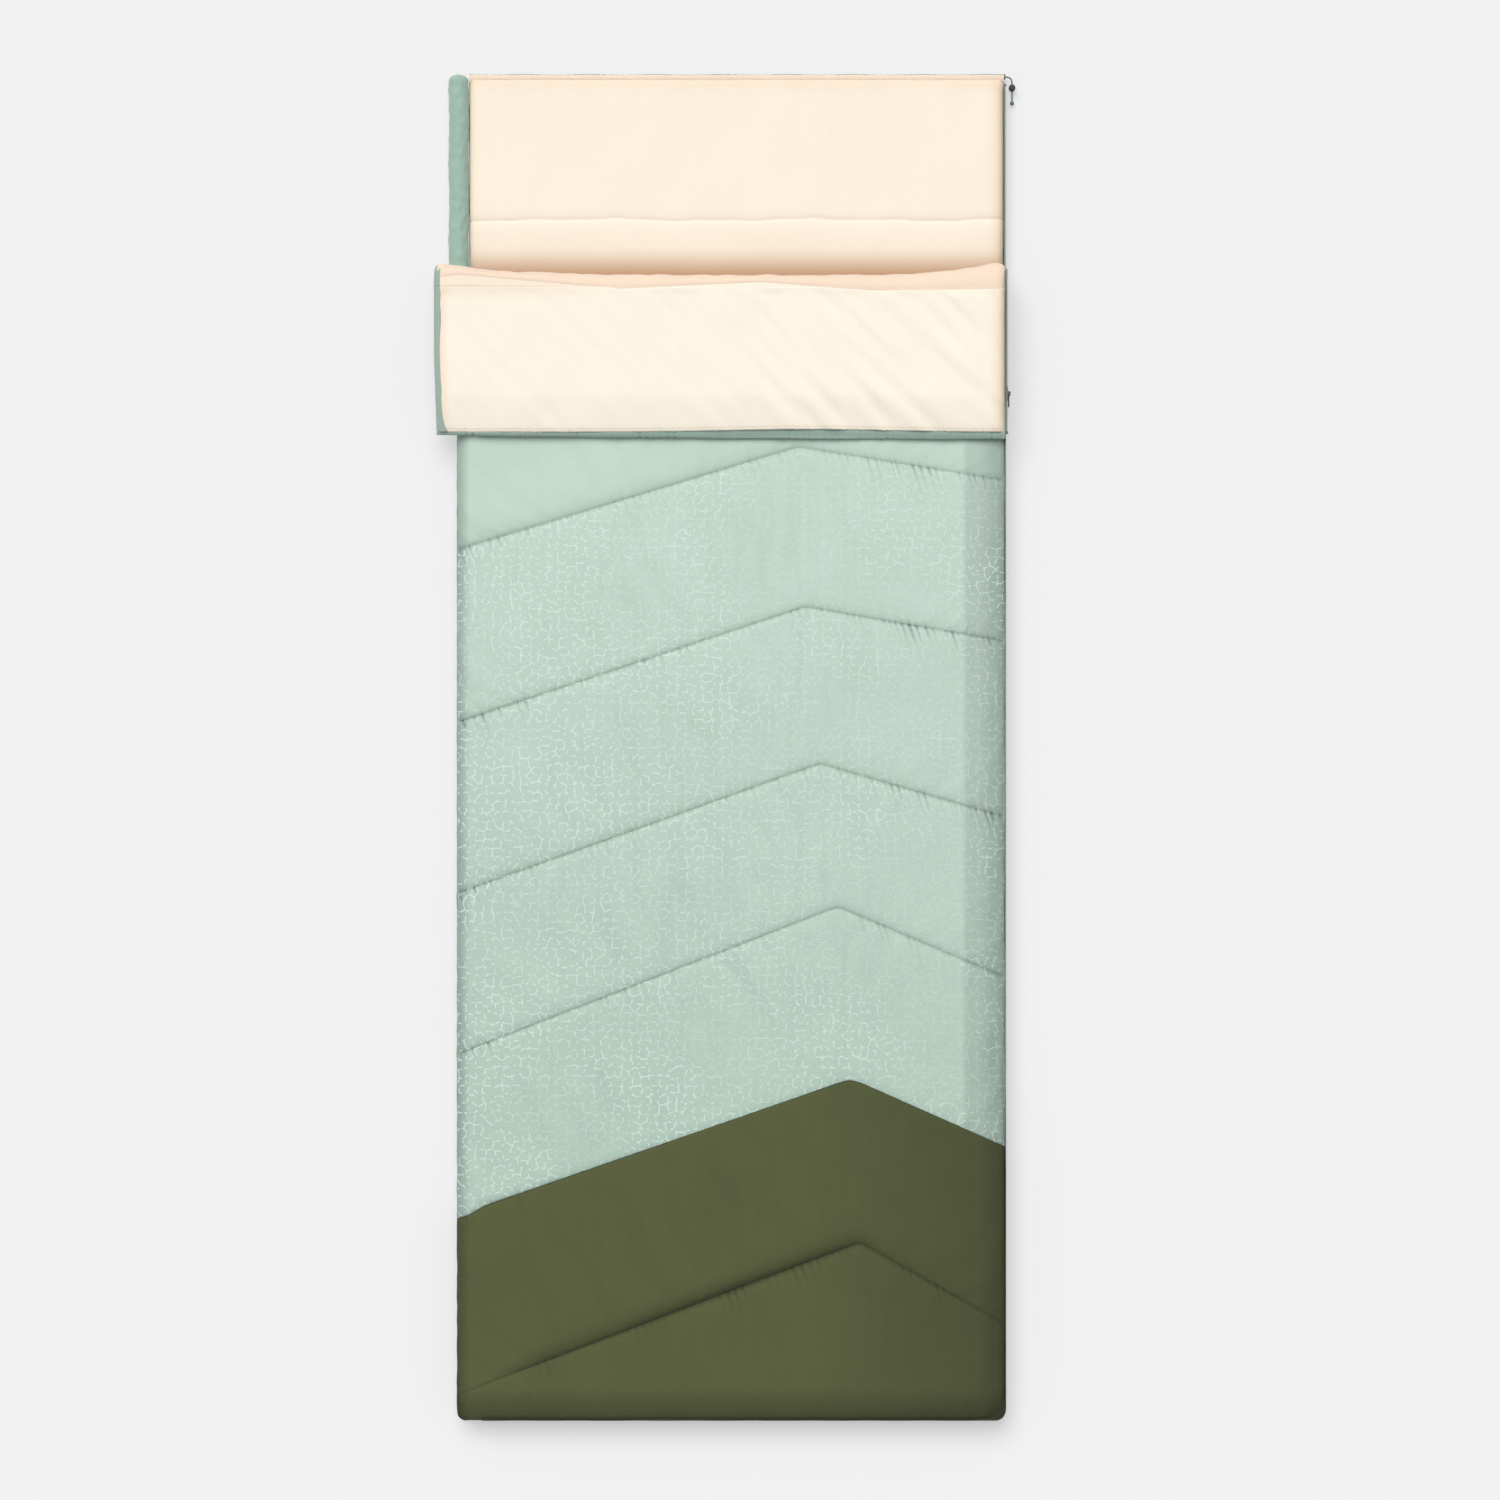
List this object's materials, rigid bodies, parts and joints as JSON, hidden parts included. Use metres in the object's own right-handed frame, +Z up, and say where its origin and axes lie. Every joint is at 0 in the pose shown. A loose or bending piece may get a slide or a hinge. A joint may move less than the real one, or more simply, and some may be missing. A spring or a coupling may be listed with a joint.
{
  "type": "rectangular sleeping bag",
  "caption": "Rectangular sleeping bag lying flat, quilted top over padded bottom, head part of the top turned down, zip on the right side and foot.",
  "frame": {"origin": "centre of the underside of the bag, on the surface it lies on, halfway along and halfway across the quilt", "axes": "+Y to the head, +X to the zip side, +Z up"},
  "size_m": [0.8172, 1.899, 0.0859],
  "materials": {
    "shell_mint": "light green woven polyester, soft calendered sheen",
    "shell_olive": "dark olive woven polyester, matte",
    "lining": "cream peach brushed polyester, soft matte",
    "hem_green": "grey green shell fabric folded as binding",
    "batting": "white hollow-fibre wadding",
    "zip_tape": "charcoal woven tape",
    "zip_coil": "dark grey nylon coil",
    "zip_metal": "black enamelled zinc",
    "cord": "green braided polyester cord",
    "lock_plastic": "black moulded acetal",
    "spring_steel": "drawn spring wire"
  },
  "bodies": {
    "bottom_panel": {"bottom_shell": "shell_mint", "bottom_batting": "batting", "bottom_lining": "lining", "bottom_head_hem": "hem_green", "draft_tube_cover": "shell_mint", "draft_tube_filling": "batting", "left_side_fold": "shell_mint", "lower_zip_tape": "zip_tape", "lower_zip_coil": "zip_coil", "lower_top_stop": "zip_metal", "zip_bottom_stop": "zip_metal", "drawcord_in_hem": "cord", "drawcord_tail": "cord", "drawcord_knot": "cord", "drawcord_eyelet": "zip_metal", "cord_lock_barrel": "lock_plastic", "cord_lock_spring": "spring_steel"},
    "top_panel": {"top_shell": "shell_mint", "foot_shell": "shell_olive", "top_batting": "batting", "top_lining": "lining", "crease_roll": "lining", "upper_zip_tape": "zip_tape", "upper_zip_coil": "zip_coil"},
    "flap": {"flap_shell": "shell_mint", "flap_batting": "batting", "flap_lining": "lining", "flap_hem_binding": "hem_green", "flap_zip_tape": "zip_tape", "flap_zip_coil": "zip_coil", "flap_top_stop": "zip_metal"},
    "slider": {"slider_body": "zip_metal"},
    "pull": {"pull_tab": "zip_metal"},
    "lock_plunger": {"cord_lock_plunger": "lock_plastic"}
  },
  "joints": [
    {"name": "top_panel_open", "type": "hinge", "parent": "bottom_panel", "child": "top_panel", "pos_m": [-0.41, 0, 0.029], "axis": [0, -1, 0], "range_deg": [0, 179.5], "deforming": ["left_side_fold"]},
    {"name": "flap_turn", "type": "hinge", "parent": "top_panel", "child": "flap", "pos_m": [0, 0.644, 0.05825], "axis": [-1, 0, 0], "range_deg": [0, 179.5], "deforming": ["crease_roll"]},
    {"name": "zip_run", "type": "slide", "parent": "bottom_panel", "child": "slider", "axis": [0, 1, 0], "range_m": [-1.415, 0.42]},
    {"name": "pull_swing", "type": "hinge", "parent": "slider", "child": "pull", "pos_m": [0.3889, 0.497, 0.029], "axis": [0, 0, 1], "range_deg": [0, 170]},
    {"name": "lock_press", "type": "slide", "parent": "bottom_panel", "child": "lock_plunger", "axis": [0, 0, -1], "range_m": [0, 0.002], "stiffness_N_per_m": 400, "springref_m": -0.002, "deforming": ["cord_lock_spring"]}
  ]
}
